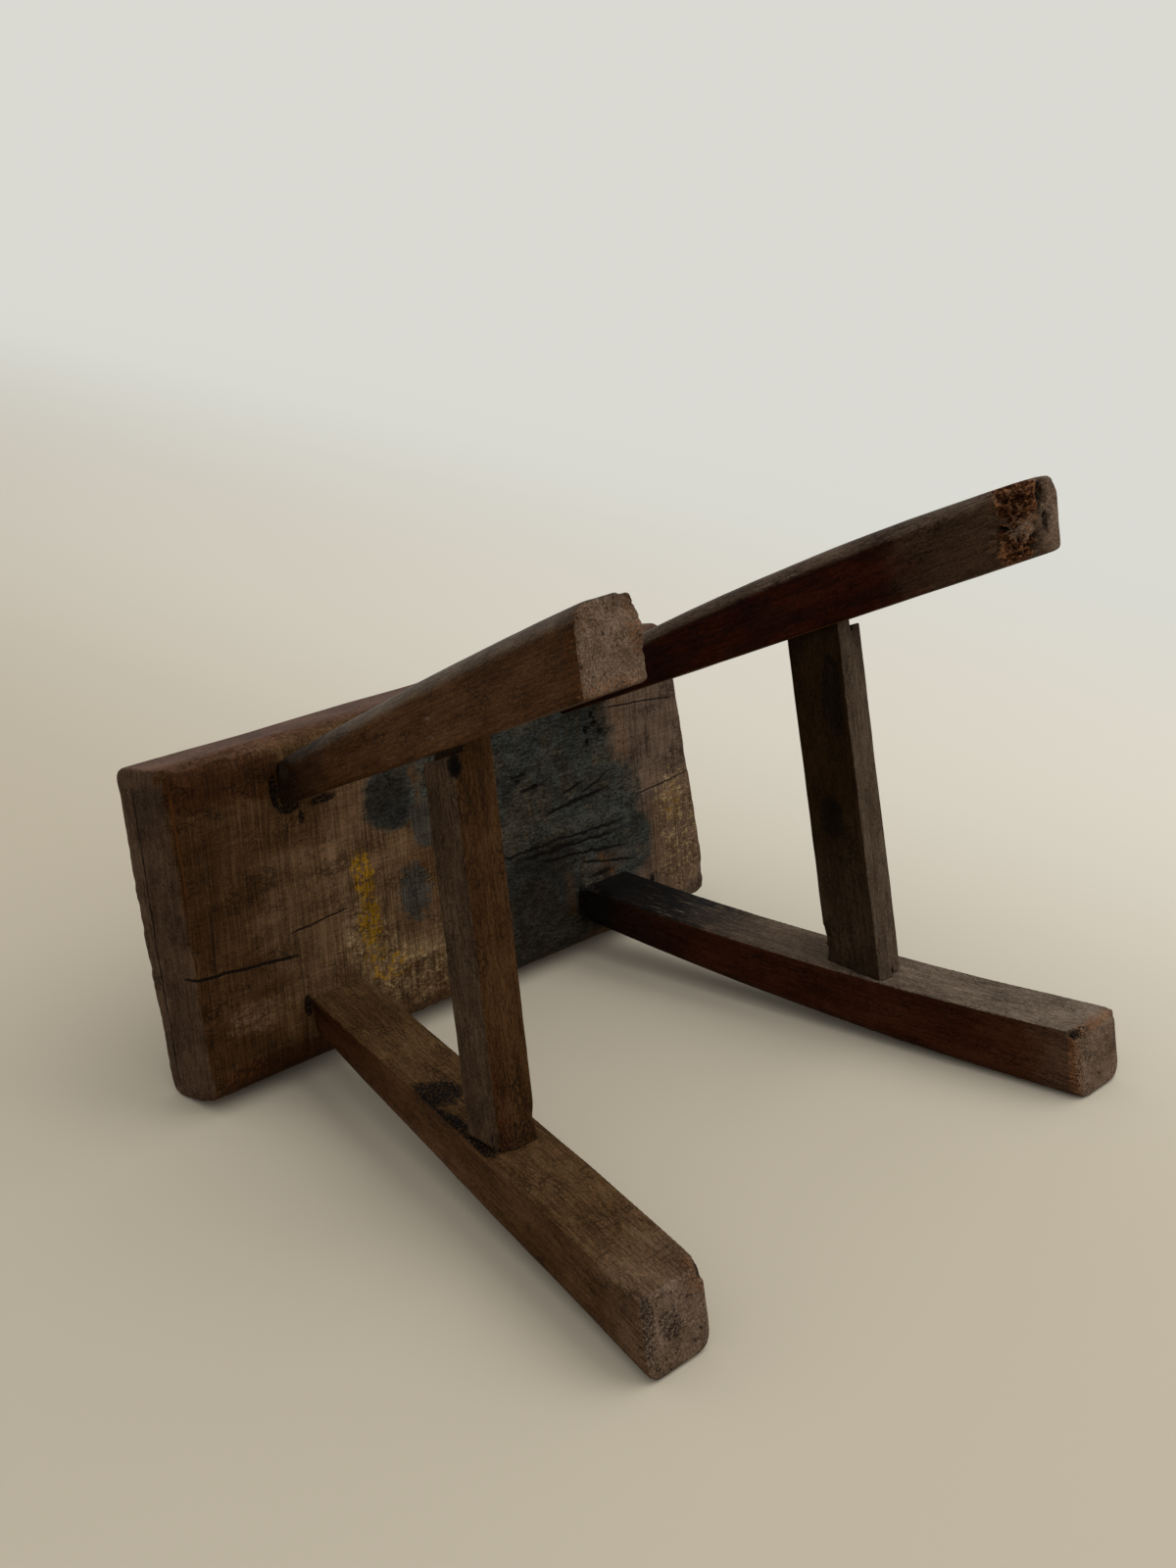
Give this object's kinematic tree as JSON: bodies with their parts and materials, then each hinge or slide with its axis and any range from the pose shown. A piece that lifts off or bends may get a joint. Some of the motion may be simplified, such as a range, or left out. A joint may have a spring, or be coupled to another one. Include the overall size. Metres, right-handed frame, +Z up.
{
  "type": "bench stool",
  "caption": "Low wooden bench stool: a thick plank seat on splayed through-tenoned legs, with a stretcher across each end.",
  "frame": {"origin": "on the floor, midway between the feet along and across the stool", "axes": "+X along the seat to its right end, +Y across the seat to its back edge, +Z up from the floor to the seat"},
  "size_m": [0.4665, 0.3926, 0.376],
  "materials": {
    "seat_wood": "rough sawn under, worn satin on top",
    "leg_wood": "worn satin",
    "stretcher_wood": "worn matt",
    "wedge_wood": "worn matt"
  },
  "bodies": {
    "root": {"seat": "seat_wood", "leg_front_right": "leg_wood", "leg_front_left": "leg_wood", "leg_back_right": "leg_wood", "leg_back_left": "leg_wood", "wedge_front_right": "wedge_wood", "wedge_front_left": "wedge_wood", "wedge_back_right": "wedge_wood", "wedge_back_left": "wedge_wood", "stretcher_right": "stretcher_wood", "stretcher_left": "stretcher_wood"}
  },
  "joints": []
}
